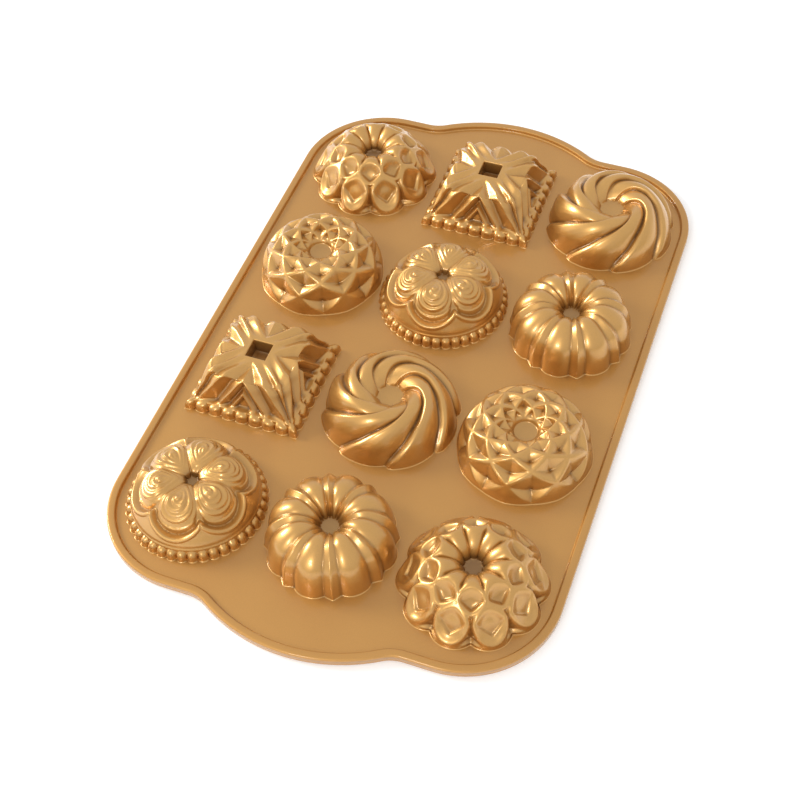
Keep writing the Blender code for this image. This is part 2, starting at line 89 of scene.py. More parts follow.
# Square mould: place of each crest and valley across the pleats from a corner's diagonal, at the base, at the
# crown's edge and at the hole; its height as a share; depth at each profile point; rises of base and edge
PLEATS_AT_BASE = (0.0, 0.2, 0.6, 1.1, 1.5, 6.2, 7.6, 8.0, 10.1, 11.6, 12.0, 12.6, 20.0)
PLEATS_AT_EDGE = (0.0, 0.5, 1.6, 4.3, 4.8, 8.1, 11.1, 11.6, 13.3, 14.8, 15.2, 15.8, 22.0)
PLEATS_AT_HOLE = (0.0, 0.5, 1.5, 3.7, 4.3, 5.7, 7.8, 8.3, 11.2, 12.6, 13.0, 13.6, 22.0)
PLEAT_HEIGHTS = (1.0, 0.95, 0.25, 1.0, 1.0, 0.0, 0.95, 0.95, 0.0, 0.8, 0.8, 0.05, 0.05)
PLEAT_DEPTHS = (2.4, 2.4, 2.4, 2.9, 3.1, 3.1, 2.8, 2.4, 1.4, 0.1, 0.0, 0.0, 0.0)
PLEAT_BASE_RISE, PLEAT_EDGE_RISE = 5.0, 17.1

# Direction of each mould's first fold, in degrees, and the attribute that carries the painted shade in
# creases, hollows and dimple floors
FIRST_LOBE = -90.0
PAINTED_SHADE_ATTRIBUTE = "painted_shade"
# Points that measure a profile's length
CURVE_SAMPLES = 2000


def smooth_read(table, places):
    """Read a table between its rows along one smooth curve."""
    rows = np.asarray(table, float)
    if rows.ndim == 1:
        rows = rows[:, None]
    last = len(rows) - 1
    padded = np.vstack((2 * rows[:1] - rows[1:2], rows, 2 * rows[-1:] - rows[-2:-1]))
    places = np.clip(places, 0, last)
    first = np.minimum(places.astype(int), last - 1)
    part = (places - first)[:, None]
    before, here, after, beyond = (padded[first + step] for step in range(4))
    return (here + 0.5 * part * (after - before)
            + part ** 2 * (before - 2.5 * here + 2 * after - 0.5 * beyond)
            + part ** 3 * (1.5 * here - 0.5 * before - 1.5 * after + 0.5 * beyond))


def soft_step(value):
    """Rise from 0 to 1 with rounded ends."""
    value = np.clip(value, 0.0, 1.0)
    return value * value * (3 - 2 * value)


def soften(field, passes, stride=1):
    """Round the creases of a relief that runs round a ring of columns."""
    for step in range(passes):
        field = (np.roll(field, stride, 1) + 2 * field + np.roll(field, -stride, 1)) / 4
        padded = np.vstack((field[:1].repeat(stride, 0), field, field[-1:].repeat(stride, 0)))
        field = (padded[:-2 * stride] + 2 * padded[stride:-stride] + padded[2 * stride:]) / 4
    return field


# Painted shade in creases and hollows, where shade falls: rounds of softening, stride, depth at the start and
# to full
CREASE_PASSES, CREASE_START, CREASE_FULL = 14, 0.04, 0.5
HOLLOW_PASSES, HOLLOW_STRIDE, HOLLOW_START, HOLLOW_FULL = 8, 4, 0.15, 1.5
# Share of the painted shade that a hollow gets at full depth
HOLLOW_SHADE_SHARE = 0.4
# Profile points over which the painted shade climbs the dimple from its floor and the painted crease shade
# fades at the floor
PAINTED_SHADE_CLIMB, CREASE_FADE = 2.2, 1.0


def painted_shading(name, relief, walk):
    """Painted shade: darkening in creases, in hollows and at the bottom of a deep dimple, where shade falls.
    """
    dimple, crease = PAINTED_SHADE_SHARES[name]
    crease_depth = soften(relief, CREASE_PASSES) - relief - CREASE_START
    hollow_depth = soften(relief, HOLLOW_PASSES, HOLLOW_STRIDE) - relief - HOLLOW_START
    creases = crease * np.clip(crease_depth / CREASE_FULL, 0, 1)
    hollows = HOLLOW_SHADE_SHARE * np.clip(hollow_depth / HOLLOW_FULL, 0, 1)
    to_floor = walk.place - walk.place[-1, 0]
    crease_and_hollow_shade = np.maximum(creases, hollows) * (1 - soft_step(to_floor + CREASE_FADE))
    return np.maximum(crease_and_hollow_shade, dimple * soft_step((to_floor + PAINTED_SHADE_CLIMB) / PAINTED_SHADE_CLIMB))


class Walk:
    """Even steps along a profile: place in its table, length walked, reach, rise and outward normal."""

    def __init__(self, table, start, step):
        dense = np.linspace(0, len(table) - 1, CURVE_SAMPLES)
        curve = smooth_read(table, dense)
        lengths = np.concatenate(([0.0], np.cumsum(np.hypot(*np.diff(curve, axis=0).T))))
        count = int((lengths[-1] - start) / step) + 1
        self.length = np.linspace(start, lengths[-1], count)[:, None]
        self.place = np.interp(self.length[:, 0], lengths, dense)[:, None]
        curve = smooth_read(table, self.place[:, 0])
        along = np.gradient(curve, axis=0)
        along /= np.hypot(*along.T)[:, None]
        self.reach, self.rise = curve[:, :1], curve[:, 1:]
        self.lean, self.lift = along[:, 1:], -along[:, :1]
        self.climb = self.place / (len(table) - 1)


def fold_share(folds, columns, turn=0.0):
    """Share of the fold at each column, from the first lobe."""
    degrees = np.arange(columns)[None, :] * 360.0 / columns - turn
    return (degrees * folds / 360.0) % 1.0


# Fluted mould: lobes, half widths in degrees, powers, then rib's height, depth and the loss on the way up
FLUTED_LOBES = 8
FLUTED_HALF_PITCH, FLUTED_HALF_LOBE, FLUTED_HALF_RIB = 22.5, 14.4, 8.1
FLUTED_LOBE_POWER, FLUTED_RIB_POWER = 2.4, 0.9
FLUTED_RIB_HEIGHT, FLUTED_DEPTH, FLUTED_FADE = 1.1, 1.75, 0.5


def fluted_relief(walk, columns):
    """Eight wide round lobes with a narrow pointed rib between each pair."""
    share = fold_share(FLUTED_LOBES, columns)
    off = np.minimum(share, 1 - share) * 2 * FLUTED_HALF_PITCH
    lobe = 1 - (off / FLUTED_HALF_LOBE) ** FLUTED_LOBE_POWER
    slope = ((FLUTED_HALF_PITCH - off) / FLUTED_HALF_RIB) ** FLUTED_RIB_POWER
    rib = FLUTED_RIB_HEIGHT - FLUTED_RIB_HEIGHT * slope
    crest = np.where(off < FLUTED_HALF_LOBE, lobe, rib)
    return soften(FLUTED_DEPTH * (crest - 1) * (1 - FLUTED_FADE * walk.climb), 1)


# Lens outlines of the two rows of cells: middle, reach below and above, half width in degrees, powers below
# and above, lowest point and slope of the V-shaped crease, depth of the dish
LOWER_CELL = (9.5, 8.3, 7.5, 15.4, 1.75, 1.9, 4.9, 0.42, 1.9)
UPPER_CELL = (18.7, 4.5, 6.6, 16.9, 1.36, 2.2, 15.2, 0.22, 1.3)
# Border round each cell and width of the dish's slope, in millimetres
CELL_BORDER, DISH_SLOPE = 0.2, 1.9
# V-shaped step in a dish: depth, width of its rise, length, fade and distance from the border
VEE_DEPTH, VEE_RISE, VEE_LENGTH, VEE_FADE, VEE_BORDER = 1.15, 0.7, 10.0, 8.5, 1.3


def dished_cell(off, s, shape, degree):
    """Depth of a cell with a V-shaped step low in its dish, and distance inside its round border."""
    middle, below, above, half, low_power, high_power, vee, arm, deep = shape
    power = np.where(s < middle, low_power, high_power)
    climb = np.where(s < middle, (middle - s) / below, (s - middle) / above)
    inside = (1 - ((off / half) ** power + climb ** power) ** (1 / power)) * half * degree
    dish = deep * (1 - np.exp(-(np.clip(inside - CELL_BORDER, 0, None) / DISH_SLOPE) ** 2))
    rise = soft_step((s - vee - arm * off) / VEE_RISE)
    step = rise * soft_step((vee + VEE_LENGTH - s) / VEE_FADE) * soft_step(inside / VEE_BORDER)
    return dish + VEE_DEPTH * step, inside


# Petal mould: lobes and half their spacing in degrees
PETAL_LOBES, PETAL_HALF_PITCH = 10, 18.0
# Valleys between the lobes: end and fade along the profile, depth, power of the section and what it gains
VALLEY_END, VALLEY_FADE, VALLEY_DEPTH, VALLEY_POWER, VALLEY_POWER_ADDED = 13.8, 11.0, 3.1, 2.2, 5.0
# Joints between the cells' borders: depth, slope, start, growth and the share lost to the crown
JOINT_DEPTH, JOINT_SLOPE, JOINT_START, JOINT_GROWTH, JOINT_LOSS = 1.4, 0.95, 0.8, 2.5, 0.7
# Ribs over the crown: start, growth, depth as a share of the reach, power of the section
RIB_START, RIB_GROWTH, RIB_SHARE, RIB_POWER = 21.5, 4.0, 0.19, 2.2
# Bulge of each lobe: height, middle and width along the profile
BULGE_HEIGHT, BULGE_MIDDLE, BULGE_WIDTH = 0.9, 10.5, 4.5


def petal_relief(walk, columns):
    """Lobes, two staggered rows of dished cells in round borders and ribs over the crown."""
    share = fold_share(PETAL_LOBES, columns)
    off = np.minimum(share, 1 - share) * 2 * PETAL_HALF_PITCH
    s = walk.length
    degree = walk.reach * math.pi / 180
    low = soft_step((VALLEY_END - s) / VALLEY_FADE)
    valley_power = VALLEY_POWER + VALLEY_POWER_ADDED * (1 - low)
    valley = VALLEY_DEPTH * low * (off / PETAL_HALF_PITCH) ** valley_power
    lower, lower_in = dished_cell(off, s, LOWER_CELL, degree)
    upper, upper_in = dished_cell(PETAL_HALF_PITCH - off, s, UPPER_CELL, degree)
    beyond = np.clip(np.minimum(-lower_in, -upper_in), 0, None)
    slope = 1 - np.exp(-(np.clip(beyond - CELL_BORDER, 0, None) / JOINT_SLOPE) ** 2)
    joint = JOINT_DEPTH * slope * soft_step((s - JOINT_START) / JOINT_GROWTH)
    crown = soft_step((s - RIB_START) / RIB_GROWTH)
    across = 1 - off / PETAL_HALF_PITCH
    ribs = RIB_SHARE * walk.reach * crown * (1 - np.sqrt(np.clip(1 - across ** RIB_POWER, 0, 1)))
    bulge_along = np.exp(-((s - BULGE_MIDDLE) / BULGE_WIDTH) ** 2)
    bulge = BULGE_HEIGHT * bulge_along * (1 - (off / PETAL_HALF_PITCH) ** 2)
    return soften(bulge - valley - lower - upper - joint * (1 - JOINT_LOSS * crown) - ribs, 1)


# Diamond mould: folds, a pit's parts below and above its point, raised line, pointed bottom, depths of pits
# and notches, loss of depth on the way up, end and fade of the net in profile points
DIAMOND_FOLDS = 8
PIT_BELOW, PIT_ABOVE = 0.35, 0.65
LINE_SHARE, BELOW_LINE_SHARE = 0.11, 0.89
POINT_SHARE, POINT_POWER = 0.2, 8
PIT_DEPTH, NOTCH_DEPTH, DIAMOND_LOSS = 3.2, 0.75, 0.45
NET_END, NET_FADE = 11.9, 1.4


def diamond_relief(walk, columns):
    """A net of raised lines round pits whose points lie a little below their middles."""
    share = fold_share(DIAMOND_FOLDS, columns)
    across = share * 2
    row = walk.place / 2
    aside = np.minimum(across, 2 - across)
    rising = ((across + row - 1) / 2) % 1
    falling = ((across - row - 1) / 2) % 1
    one_way = np.minimum(rising / PIT_BELOW, (1 - rising) / PIT_ABOVE)
    other_way = np.minimum(falling / PIT_ABOVE, (1 - falling) / PIT_BELOW)
    depth = np.where(row + aside <= 1, 0.0, np.minimum(one_way, other_way))
    depth = np.clip(depth - LINE_SHARE, 0, None) / BELOW_LINE_SHARE
    depth = depth + POINT_SHARE * depth ** POINT_POWER
    notch = NOTCH_DEPTH * aside * np.clip(1 - row, 0, 1)
    fade = (1 - DIAMOND_LOSS * walk.climb) * soft_step((NET_END - walk.place) / NET_FADE)
    return soften(-PIT_DEPTH * depth * fade - notch, 1)


# Swirl mould: section of one rib from crease to crease, as shares of its spacing and of its depth
SWIRL_SHARES = (0.0, 0.035, 0.075, 0.12, 0.2, 0.36, 0.52, 0.68, 0.84, 0.95, 1.0)
SWIRL_HEIGHTS = (-1.0, -0.25, -0.2, 0.0, 0.0, -0.05, -0.16, -0.34, -0.62, -0.88, -1.0)
# Ribs, turn at the base in degrees, depth, its gain low down and loss higher up, and their lengths
SWIRL_RIBS, SWIRL_START = 8, 30.5
SWIRL_DEPTH, SWIRL_GAIN, SWIRL_LOSS = 1.75, 0.9, 1.5
SWIRL_GAIN_LENGTH, SWIRL_LOSS_START, SWIRL_LOSS_LENGTH = 6, 18, 15


def swirl_relief(walk, columns):
    """A steep rise to a narrow band, then a long rounded fall to the next crease."""
    turn = smooth_read(SWIRL_TURNS, walk.place[:, 0])
    share = fold_share(SWIRL_RIBS, columns, turn - SWIRL_START)
    gain = SWIRL_GAIN * soft_step(walk.length / SWIRL_GAIN_LENGTH)
    loss = SWIRL_LOSS * soft_step((walk.length - SWIRL_LOSS_START) / SWIRL_LOSS_LENGTH)
    depth = SWIRL_DEPTH + gain - loss
    return soften(depth * np.interp(share, SWIRL_SHARES, SWIRL_HEIGHTS), 1)


# Rolled petals from the outside in: lower and upper end, half width and sideways shift in degrees
ROSE_PETALS = (
    (11.4, 28.0, 26.0, -0.5), (13.5, 26.9, 21.5, 1.2), (15.6, 25.7, 16.6, -1.6), (17.7, 24.7, 11.6, 1.4),
    (19.8, 23.4, 6.2, -0.6))
# Roses, spacing and half width in degrees, and length of the foot under them
ROSES, ROSE_PITCH, ROSE_HALF, ROSE_FOOT = 6, 60.0, 29.6, 3.5
# A rose: middle, reach below and above, power of its upper outline; then the dome's power, edge, sink, height
ROSE_MIDDLE, ROSE_BELOW, ROSE_ABOVE, ROSE_TOP_POWER = 18.0, 8.8, 18.0, 4
ROSE_POWER, ROSE_EDGE, ROSE_SINK, ROSE_DOME = 3.2, 0.25, 1.25, 0.9
# A rolled petal: height and width of its lip, then share, start and width of the dip inside it
PETAL_LIP, LIP_WIDTH, DIP_SHARE, DIP_START, DIP_WIDTH = 0.72, 0.9, 0.66, 0.7, 1.7
# Shares of a petal's height that it keeps and that fades, and where above its middle the fade ends
PETAL_KEPT, PETAL_FADED, PETAL_FADE_END = 0.35, 0.65, 0.4
# A swag: lowest place, rise, half spacing in degrees, power of its curve, power and share of its lean
SWAG_PLACE, SWAG_RISE, SWAG_HALF, SWAG_POWER, SWAG_LEAN_POWER, SWAG_LEAN = 5.1, 4.9, 27.5, 2.1, 2.2, 0.4
# Its rib: height, half width, end and fade in degrees
SWAG_RIB, SWAG_RIB_HALF, SWAG_RIB_END, SWAG_RIB_FADE = 0.85, 1.15, 30.5, 2.0
# The hollow above it: depth, start, width; then what fills it: depth, start, width, end and fade in degrees
HOLLOW_DEPTH, HOLLOW_BEGIN, HOLLOW_WIDTH = 2.1, 0.3, 1.0
FILL_DEPTH, FILL_START, FILL_WIDTH, FILL_END, FILL_FADE = 1.9, 1.1, 3.4, 27.0, 5.0
# Loss of the hollow higher up; the band below the swags; the ledge over the beads
HOLLOW_LOSS, LOSS_START, LOSS_LENGTH = 0.5, 12.0, 6.0
BAND_HEIGHT, BAND_FADE, BAND_START = 0.25, 1.2, 1.5
LEDGE_HEIGHT, LEDGE_PLACE, LEDGE_WIDTH = 0.3, 1.2, 0.4


def rolled_petals(aside, s, dome):
    """Height of a rose's rolled petals over its dome."""
    petals = ROSE_DOME * dome - ROSE_SINK
    for lower, upper, half, shift in ROSE_PETALS:
        middle, reach = (lower + upper) / 2, (upper - lower) / 2
        inside = (1 - np.sqrt(((aside - shift) / half) ** 2 + ((s - middle) / reach) ** 2)) * reach
        lip = np.sqrt(np.clip(1 - (1 - np.clip(inside / LIP_WIDTH, 0, 1)) ** 2, 0, 1))
        fade = PETAL_KEPT + PETAL_FADED * soft_step((middle + PETAL_FADE_END * reach - s) / reach)
        petals = petals + PETAL_LIP * fade * (lip - DIP_SHARE * soft_step((inside - DIP_START) / DIP_WIDTH))
    return petals


def rosette_relief(walk, columns):
    """Six domed roses of rolled petals, a hollow below each one and a swag that hangs round it."""
    aside = ((fold_share(ROSES, columns) + 0.5) % 1.0 - 0.5) * ROSE_PITCH
    off = np.abs(aside)
    s = walk.length - ROSE_FOOT
    low = np.sqrt((off / ROSE_HALF) ** 2 + ((ROSE_MIDDLE - s) / ROSE_BELOW) ** 2)
    over = np.clip(s - ROSE_MIDDLE, 0, None) / ROSE_ABOVE
    high = ((off / ROSE_HALF) ** ROSE_TOP_POWER + over ** ROSE_TOP_POWER) ** (1 / ROSE_TOP_POWER)
    size = np.where(s < ROSE_MIDDLE, low, high)
    dome = np.sqrt(np.clip(1 - size ** ROSE_POWER, 0, 1))
    rose = soft_step(dome / ROSE_EDGE)
    swag = SWAG_PLACE + SWAG_RISE * (off / SWAG_HALF) ** SWAG_POWER
    beside = (s - swag) / np.sqrt(1 + (off / SWAG_HALF) ** SWAG_LEAN_POWER * SWAG_LEAN)
    round_rib = np.sqrt(np.clip(1 - (beside / SWAG_RIB_HALF) ** 2, 0, 1))
    rib = SWAG_RIB * round_rib * soft_step((SWAG_RIB_END - off) / SWAG_RIB_FADE)
    fill = FILL_DEPTH * np.clip((beside - FILL_START) / FILL_WIDTH, 0, 1)
    hollow = HOLLOW_DEPTH * soft_step((beside - HOLLOW_BEGIN) / HOLLOW_WIDTH)
    hollow = hollow - fill * soft_step((FILL_END - off) / FILL_FADE)
    hollow = hollow * (1 - HOLLOW_LOSS * soft_step((s - LOSS_START) / LOSS_LENGTH))
    band = BAND_HEIGHT * soft_step(-beside / BAND_FADE) * soft_step((s - BAND_START) / BAND_START)
    ledge = LEDGE_HEIGHT * np.exp(-((s - LEDGE_PLACE) / LEDGE_WIDTH) ** 2)
    return soften((rib - hollow + band) * (1 - rose) + rolled_petals(aside, s, dome) * rose + ledge, 1)


# Steps to the side, in millimetres, and weights that round the pleats' edges
PLEAT_BLUR = ((-0.5, 1 / 9), (-0.25, 2 / 9), (0.0, 1 / 3), (0.25, 2 / 9), (0.5, 1 / 9))
# Profile point of the crown's edge, points from there to the hole, and start and growth of the pleats
PLEAT_EDGE_POINT, PLEAT_HOLE_POINTS = 6, 2
PLEAT_START, PLEAT_GROWTH = 4.0, 1.3


def pleat_relief(walk, distance):
    """Pleats that fan out from each corner of the base and run on to the hole beside the diagonals."""
    across = distance / math.sqrt(2)
    point = walk.place[:, 0]
    depths = smooth_read(PLEAT_DEPTHS, point)[:, 0]
    climb = (walk.rise[:, 0] - PLEAT_BASE_RISE) / (PLEAT_EDGE_RISE - PLEAT_BASE_RISE)
    to_edge = np.where(point < PLEAT_EDGE_POINT, np.clip(climb, 0, 1), 1.0)
    to_hole = np.clip((point - PLEAT_EDGE_POINT) / PLEAT_HOLE_POINTS, 0, 1)
    base, edge, hole = (np.array(row) for row in (PLEATS_AT_BASE, PLEATS_AT_EDGE, PLEATS_AT_HOLE))
    relief = np.zeros(distance.shape)
    for row in range(len(relief)):
        places = base + (edge - base) * to_edge[row] + (hole - edge) * to_hole[row]
        crest = sum(weight * np.interp(np.abs(across[row] + step), places, PLEAT_HEIGHTS)
                    for step, weight in PLEAT_BLUR)
        relief[row] = depths[row] * (crest - 1)
    return relief * soft_step((walk.rise - PLEAT_START) / PLEAT_GROWTH)


# A bead's flank and rounded top as shares of its height, and the powers of its rounds
BEAD_FLANK, BEAD_DOME = 0.38, 0.62
BEAD_SIDE_POWER, BEAD_TOP_POWER = 2.1, 2.2


def bead_rise(beside, rise, shape):
    """How far a half-round bead stands out, with a rounded top."""
    half_pitch, top, depth = shape
    climb = np.clip(rise - BEAD_FLANK * top, 0, None) / (BEAD_DOME * top)
    section = 1 - np.abs(beside / half_pitch) ** BEAD_SIDE_POWER - climb ** BEAD_TOP_POWER
    return depth * np.sqrt(np.clip(section, 0, 1))


# Painted shade at the dimple's bottom and in creases, as shares
PAINTED_SHADE_SHARES = {"fluted": (0.6, 1.0), "petal": (0.9, 0.4), "diamond": (0.25, 0.8), "swirl": (0.15, 1.0),
           "rosette": (0.8, 0.35), "square": (0.85, 1.0)}
# Turn of each round mould about its middle, in degrees
PATTERN_TURNS = {"fluted": 0.0, "petal": -2.0, "diamond": 0.0, "swirl": 0.0, "rosette": 3.0}
# Profile, relief and columns of each round mould
PATTERNS = {
    "fluted": (FLUTED_PROFILE, fluted_relief, 400),
    "petal": (PETAL_PROFILE, petal_relief, 400),
    "diamond": (DIAMOND_PROFILE, diamond_relief, 400),
    "swirl": (SWIRL_PROFILE, swirl_relief, 400),
    "rosette": (ROSETTE_PROFILE, rosette_relief, 480),
}


# Inside a mould: rounds of softening, and the share of the relief on round and square ones
INSIDE_PASSES, INSIDE_ROUND_SHARE, INSIDE_SQUARE_SHARE = 6, 0.85, 0.8
# Beads round the rosette mould's foot: number, spacing, then half width, height and depth of one
ROSETTE_BEADS, ROSETTE_BEAD_PITCH, ROSETTE_BEAD = 40, 3.95, (1.9, 4.1, 1.7)
# Beads round the square mould's foot: half spacing, shape, then the corner bead's middle, half room and start
SQUARE_BEAD_SPACE, SQUARE_BEAD = 2.6, (2.56, 4.2, 1.9)
CORNER_BEAD, CORNER_BEAD_SPACE, CORNER_BEAD_START = 20.9, 2.9, 18.2
# Columns on a side of the square mould, and its corners' bevel: depth, width, start and growth in rise and
# in reach
SQUARE_COLUMNS = 136
BEVEL_DEPTH, BEVEL_WIDTH, BEVEL_START, BEVEL_GROWTH, BEVEL_REACH, BEVEL_SPREAD = 1.5, 4.0, 5.0, 8.0, 13, 3.0


def round_skin(name, wall, step):
    """Rings of a round mould's skin, set in by a wall, from its base to the floor of its dimple."""
    profile, relief_of, columns = PATTERNS[name]
    walk = Walk(profile, settings().fillet / MM if wall == 0 else 0.0, step)
    relief = relief_of(walk, columns)
    if wall:
        relief = soften(relief, INSIDE_PASSES) * INSIDE_ROUND_SHARE - wall
    # Painted shade: a darker coat in creases, hollows and at the dimple's floor
    painted_shade_amount = painted_shading(name, relief, walk)
    reach = walk.reach + walk.lean * relief
    rise = walk.rise + walk.lift * relief
    if name == "rosette" and not wall:
        share = (np.arange(columns)[None, :] * ROSETTE_BEADS / columns + 0.5) % 1 - 0.5
        reach = reach + bead_rise(share * ROSETTE_BEAD_PITCH, walk.rise, ROSETTE_BEAD)
    angle = np.radians(FIRST_LOBE + PATTERN_TURNS[name] + np.arange(columns)[None, :] * 360.0 / columns)
    return np.stack((reach * np.cos(angle), reach * np.sin(angle), rise + 0 * angle, painted_shade_amount), -1)


def square_skin(wall, step):
    """Rings of the square mould's skin, set in by a wall, from its base to the floor of its hole."""
    walk = Walk(SQUARE_PROFILE, settings().fillet / MM if wall == 0 else 0.0, step)
    along = np.linspace(-1, 1, SQUARE_COLUMNS + 1)[None, :-1]
    distance = walk.reach * (1 - np.abs(along))
    relief = pleat_relief(walk, distance)
    # Painted shade: a darker coat in creases, hollows and at the hole's floor
    painted_shade_amount = painted_shading("square", relief, walk)
    beads = np.zeros(relief.shape)
    if wall:
        relief = soften(relief, INSIDE_PASSES) * INSIDE_SQUARE_SHARE - wall
    else:
        spot = np.abs(along * walk.reach)
        beside = (spot + SQUARE_BEAD_SPACE) % (2 * SQUARE_BEAD_SPACE) - SQUARE_BEAD_SPACE
        at_corner = (spot - CORNER_BEAD) * SQUARE_BEAD_SPACE / CORNER_BEAD_SPACE
        beside = np.where(spot > CORNER_BEAD_START, at_corner, beside)
        beads = bead_rise(beside, walk.rise, SQUARE_BEAD)
    push, rise = walk.lean * relief, walk.rise + walk.lift * relief
    outward = soft_step((walk.reach - BEVEL_REACH) / BEVEL_SPREAD)
    bevel = BEVEL_DEPTH * soft_step((walk.rise - BEVEL_START) / BEVEL_GROWTH) * outward
    across = along * (walk.reach + push[:, :1] - bevel + beads[:, :1])
    out = walk.reach + push + beads - bevel * np.clip(1 - distance / BEVEL_WIDTH, 0, 1) ** 2
    rings = []
    for quarter in range(4):
        turn = math.radians(90 * quarter)
        x = across * math.cos(turn) + out * math.sin(turn)
        y = across * math.sin(turn) - out * math.cos(turn)
        rings.append(np.stack((x, y, rise, painted_shade_amount), -1))
    return np.concatenate(rings, 1)


def skin(name, wall, step):
    """Rings of a mould's skin: x, y and rise above the deck's top in millimetres, and the amount of painted
    shade.
    """
    return square_skin(wall, step) if name == "square" else round_skin(name, wall, step)


def spread(ring, extra):
    """A ring pushed away from its middle."""
    reach = np.hypot(ring[:, 0], ring[:, 1])[:, None]
    flat = ring.copy()
    flat[:, :2] *= 1 + extra / reach
    return flat


def at_level(ring, level):
    """A ring laid flat at a level."""
    flat = ring.copy()
    flat[:, 2] = level
    return flat


# Spacing of the rings inside a mould, in millimetres
INSIDE_STEP = 1.0
# Rings of the post's end and of the dimple's floor, as shares of the last ring, and the floor's drop
POST_SHARES = (0.0, 0.35, 0.7, 0.96)
FLOOR_SHARES = (0.93, 0.6, 0.3, 0.0)
FLOOR_DROP = 0.12
# Foot in the deck: rise of the mouth over the underside, spread and depth of the foot, depth of its edge
MOUTH_RISE, FOOT_SPREAD, FOOT_DEPTH, FOOT_EDGE_DEPTH = 0.8, 1.2, 1.2, 0.35
# Base fillet: turn of a step in degrees, rings and sink
FILLET_TURN, FILLET_RINGS, FILLET_SINK = 15, 7, 0.02


def mouth_ring(name):
    """The edge of a mould's cavity where it meets the deck."""
    return skin(name, settings().wall / MM, INSIDE_STEP)[0, :, :3]


def shrunk_rings(ring, level, shares):
    """Rings that shrink towards the middle, all at one level."""
    flat = at_level(ring, level)
    return [flat * (share, share, 1.0, 1.0) for share in shares]


def mould_rings(name):
    """All rings of a mould: post from below, cavity, foot in the deck, base fillet, outside, dimple floor."""
    values = settings()
    fillet, wall = values.fillet / MM, values.wall / MM
    inside = skin(name, wall, INSIDE_STEP)
    outside = skin(name, 0.0, values.detail / MM)
    floor_level = outside[-1, :, 2].min() - FLOOR_DROP
    post_level = min(inside[-1, :, 2].mean(), floor_level - values.floor_wall / MM)
    chain = shrunk_rings(inside[-1], post_level, POST_SHARES) + list(inside[::-1])
    chain.append(at_level(inside[0], MOUTH_RISE - DECK_TOP))
    chain.append(at_level(spread(inside[0], FOOT_SPREAD), -FOOT_DEPTH))
    below = len(chain)
    foot = outside[0]
    chain.append(at_level(spread(foot, fillet), -FOOT_EDGE_DEPTH))
    for step in range(FILLET_RINGS):
        angle = math.radians(90 - FILLET_TURN * step)
        level = fillet * (1 - math.sin(angle)) - FILLET_SINK
        chain.append(at_level(spread(foot, fillet * (1 - math.cos(angle))), level))
    chain += list(outside[1:]) + shrunk_rings(outside[-1], floor_level, FLOOR_SHARES)
    rings = np.array(chain)
    # No painted shade inside the cavity or on the foot in the deck
    rings[:below, :, 3] = 0.0
    return rings


# Distance under which vertices are welded, in metres
WELD = 0.000002


def deselect_all():
    """Leave nothing selected, CAD nodes included."""
    if bpy.context.object and bpy.context.object.mode != "OBJECT":
        bpy.ops.object.mode_set(mode="OBJECT")
    bpy.ops.object.select_all(action="DESELECT")


def weld():
    """Weld the active piece's touching vertices and turn its faces outwards."""
    bpy.ops.object.mode_set(mode="EDIT")
    bpy.ops.mesh.select_all(action="SELECT")
    bpy.ops.mesh.remove_doubles(threshold=WELD)
    bpy.ops.mesh.normals_make_consistent(inside=False)
    bpy.ops.object.mode_set(mode="OBJECT")


def join(parts):
    """Join parts into the first one."""
    deselect_all()
    for part in parts:
        part.select_set(True)
    bpy.context.view_layer.objects.active = parts[0]
    bpy.ops.object.join()
    return parts[0]


def sheet_from_rings(name, rings):
    """Add a grid, roll it into closed rings and weld its seam and its poles."""
    deselect_all()
    rows, columns = rings.shape[:2]
    bpy.ops.mesh.primitive_grid_add(x_subdivisions=columns, y_subdivisions=rows - 1, size=1.0)
    item = bpy.context.object
    item.name = name
    item.data.name = name
    rolled = np.concatenate((rings, rings[:, :1]), 1)
    if len(item.data.vertices) != rows * (columns + 1):
        raise RuntimeError("the grid has another number of vertices than the rings")
    item.data.vertices.foreach_set("co", (rolled[..., :3] * MM).astype(np.float32).ravel())
    # The fourth column is the painted shade, kept as a point attribute
    if rolled.shape[2] > 3:
        painted_shade_amount = item.data.attributes.new(PAINTED_SHADE_ATTRIBUTE, "FLOAT", "POINT")
        painted_shade_amount.data.foreach_set("value", rolled[..., 3].astype(np.float32).ravel())
    weld()
    return item


def dress(item, material, slot, *nodes):
    """Give a finished piece its coat and its body, and hide the imported nodes that it stands for; the slot
    is not used.
    """
    item.data.materials.clear()
    item.data.materials.append(material)
    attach(item, BODY)
    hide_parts(*nodes)


def smooth_by_angle(item, degrees):
    """Shade smooth with sharp edges past an angle."""
    deselect_all()
    item.select_set(True)
    bpy.context.view_layer.objects.active = item
    bpy.ops.object.shade_smooth_by_angle(angle=math.radians(degrees))


def mould_nodes(name):
    """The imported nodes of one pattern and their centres."""
    for node in sorted(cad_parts):
        if node.startswith(name + "_mould_"):
            low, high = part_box(node)
            yield node, (low + high) / 2


def build_moulds(name):
    """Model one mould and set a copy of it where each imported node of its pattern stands."""
    master = sheet_from_rings(name + "_casting", mould_rings(name))
    smooth_by_angle(master, MOULD_CREASE)
    for node, centre in mould_nodes(name):
        item = master.copy()
        item.data = master.data.copy()
        item.name = node.replace("mould", "casting")
        item.data.name = item.name
        bpy.context.scene.collection.objects.link(item)
        item.data.transform(Matrix.Translation((centre.x, centre.y, DECK_TOP * MM)))
        dress(item, coat_material("mould"), MOULD_SLOT, node)
    bpy.data.objects.remove(master, do_unlink=True)


# The pan's outline, in millimetres, and the steps on its arcs and straight sides
CORNER_RADIUS, GRIP_REACH, GRIP_RADIUS, GRIP_FILLET_RADIUS = 36.0, 11.4, 65.0, 14.0
CORNER_STEPS, GRIP_FILLET_STEPS, GRIP_STEPS, SIDE_STEPS = 24, 12, 20, 12


def arc(centre_x, centre_y, radius, start, end, steps):
    """Points on an arc, both ends included."""
    angles = np.radians(np.linspace(start, end, steps + 1))
    return np.stack((centre_x + radius * np.cos(angles), centre_y + radius * np.sin(angles)), -1)


